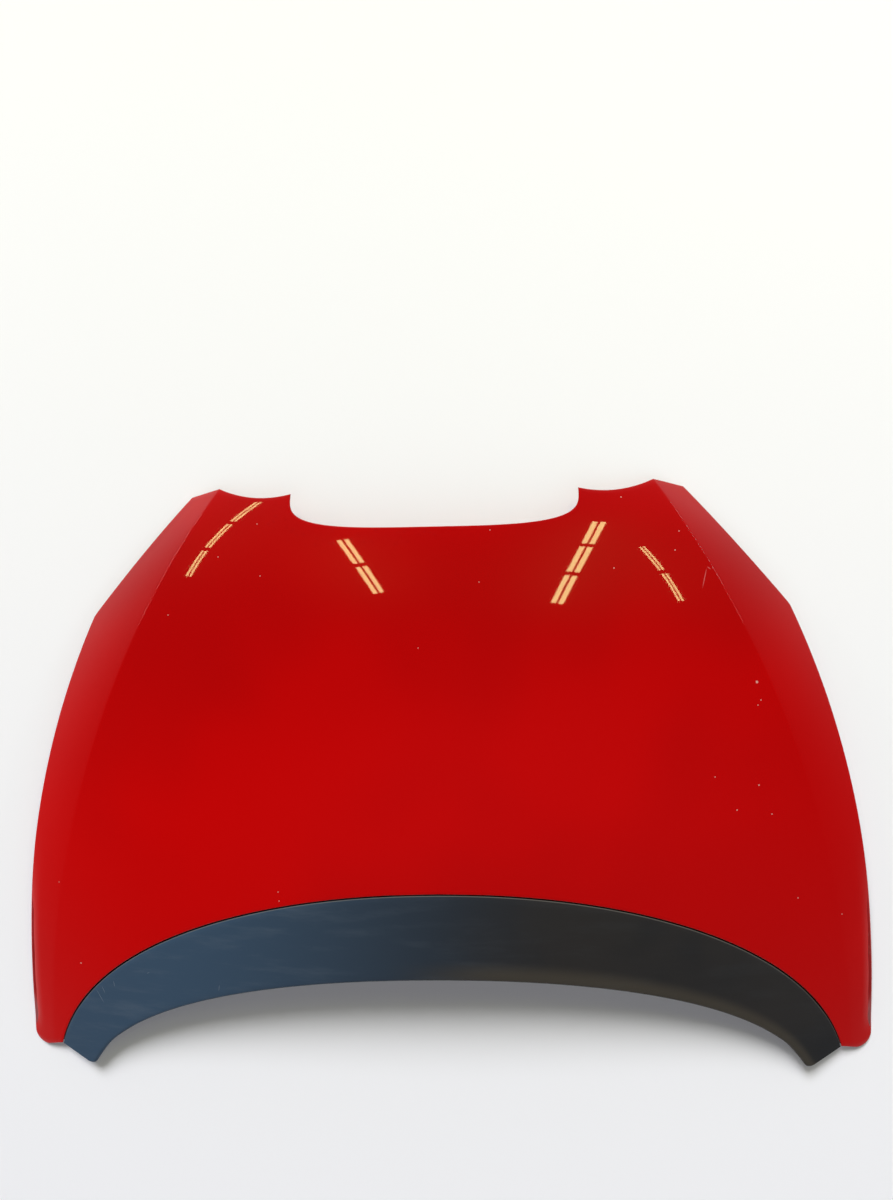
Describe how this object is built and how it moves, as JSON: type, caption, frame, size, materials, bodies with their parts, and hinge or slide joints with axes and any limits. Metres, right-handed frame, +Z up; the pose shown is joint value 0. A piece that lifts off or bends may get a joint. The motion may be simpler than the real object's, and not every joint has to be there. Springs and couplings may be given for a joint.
{
  "type": "car bonnet",
  "caption": "Red car bonnet: creased steel skin hemmed over a ribbed inner panel, lamp and badge cut-outs, arched plastic windscreen trim, hinge pads and lock striker.",
  "frame": {"origin": "middle of the underside of the whole part's box, on the surface that it lies on", "axes": "+X to the car's right when looking towards the nose, +Y towards the nose, +Z up, out of the painted face"},
  "size_m": [1.4538, 0.9984, 0.1338],
  "materials": {
    "paint": "gloss red clear-coat paint",
    "inner_coat": "thin satin red coat, as on the hidden side",
    "trim_plastic": "fine-grained matt dark grey plastic",
    "clip_nylon": "moulded black nylon",
    "plate_steel": "pressed steel plate, dull",
    "zinc": "zinc plated steel",
    "stop_rubber": "soft black rubber",
    "mastic": "cured grey anti-flutter mastic"
  },
  "bodies": {
    "root": {"outer_skin": "paint", "inner_panel": "inner_coat", "windscreen_trim": "trim_plastic", "trim_clip_1": "clip_nylon", "trim_clip_2": "clip_nylon", "trim_clip_3": "clip_nylon", "trim_clip_4": "clip_nylon", "trim_clip_5": "clip_nylon", "trim_clip_6": "clip_nylon", "trim_clip_7": "clip_nylon", "hinge_plate_left": "plate_steel", "hinge_nut_left_front": "zinc", "hinge_nut_left_rear": "zinc", "striker_nut_left": "zinc", "striker_bolt_left": "zinc", "nose_buffer_left": "stop_rubber", "hinge_plate_right": "plate_steel", "hinge_nut_right_front": "zinc", "hinge_nut_right_rear": "zinc", "striker_nut_right": "zinc", "striker_bolt_right": "zinc", "nose_buffer_right": "stop_rubber", "striker_plate": "plate_steel", "striker_base": "zinc", "striker_loop": "zinc", "mastic_dab_1": "mastic", "mastic_dab_2": "mastic", "mastic_dab_3": "mastic", "mastic_dab_4": "mastic", "mastic_dab_5": "mastic", "mastic_dab_6": "mastic", "mastic_dab_7": "mastic", "mastic_dab_8": "mastic", "mastic_dab_9": "mastic", "mastic_dab_10": "mastic", "mastic_dab_11": "mastic", "mastic_dab_12": "mastic", "mastic_dab_13": "mastic", "mastic_dab_14": "mastic", "mastic_dab_15": "mastic", "mastic_dab_16": "mastic", "mastic_dab_17": "mastic", "mastic_dab_18": "mastic", "mastic_dab_19": "mastic", "mastic_dab_20": "mastic"}
  },
  "joints": []
}
